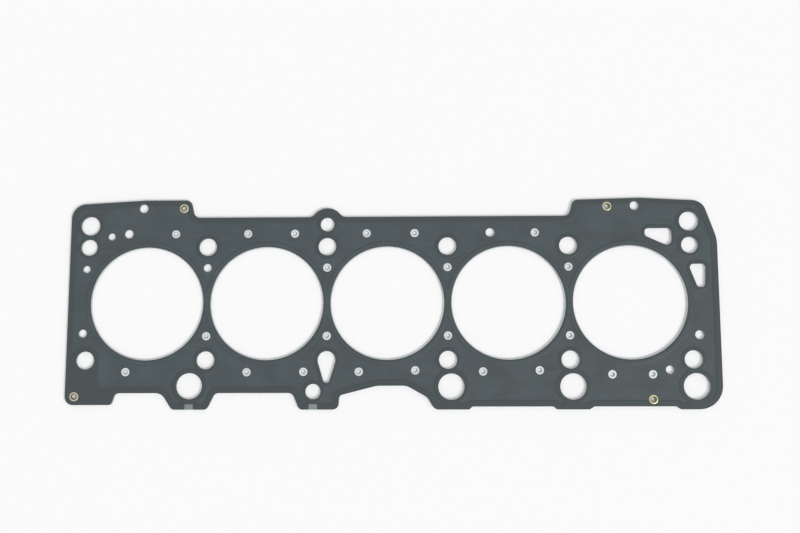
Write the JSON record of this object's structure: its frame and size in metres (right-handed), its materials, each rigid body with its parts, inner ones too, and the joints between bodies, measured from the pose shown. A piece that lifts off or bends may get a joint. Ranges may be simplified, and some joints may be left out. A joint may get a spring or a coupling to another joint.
{
  "type": "cylinder head gasket",
  "caption": "Flat multi-layer steel gasket for an in-line engine: coated outer sheets with beaded bores over a bare carrier, joined by hollow eyelets.",
  "frame": {"origin": "on the axis of the middle bore, at the height of the block face, which is the plane of the lower bead crowns", "axes": "+X along the row of bores, +Y towards the edge with the lug, +Z towards the cylinder head"},
  "size_m": [0.474, 0.1536, 0.002],
  "materials": {
    "coating": "satin dark grey elastomer coating on spring steel",
    "carrier_steel": "bare rolled steel",
    "eyelet_brass": "pale brass plate, lightly domed by rolling"
  },
  "bodies": {
    "root": {"upper_sheet": "coating", "lower_sheet": "coating", "carrier_sheet": "carrier_steel", "eyelet_upper_left": "eyelet_brass", "eyelet_upper_right": "eyelet_brass", "eyelet_lower_left": "eyelet_brass", "eyelet_lower_right": "eyelet_brass"}
  },
  "joints": []
}
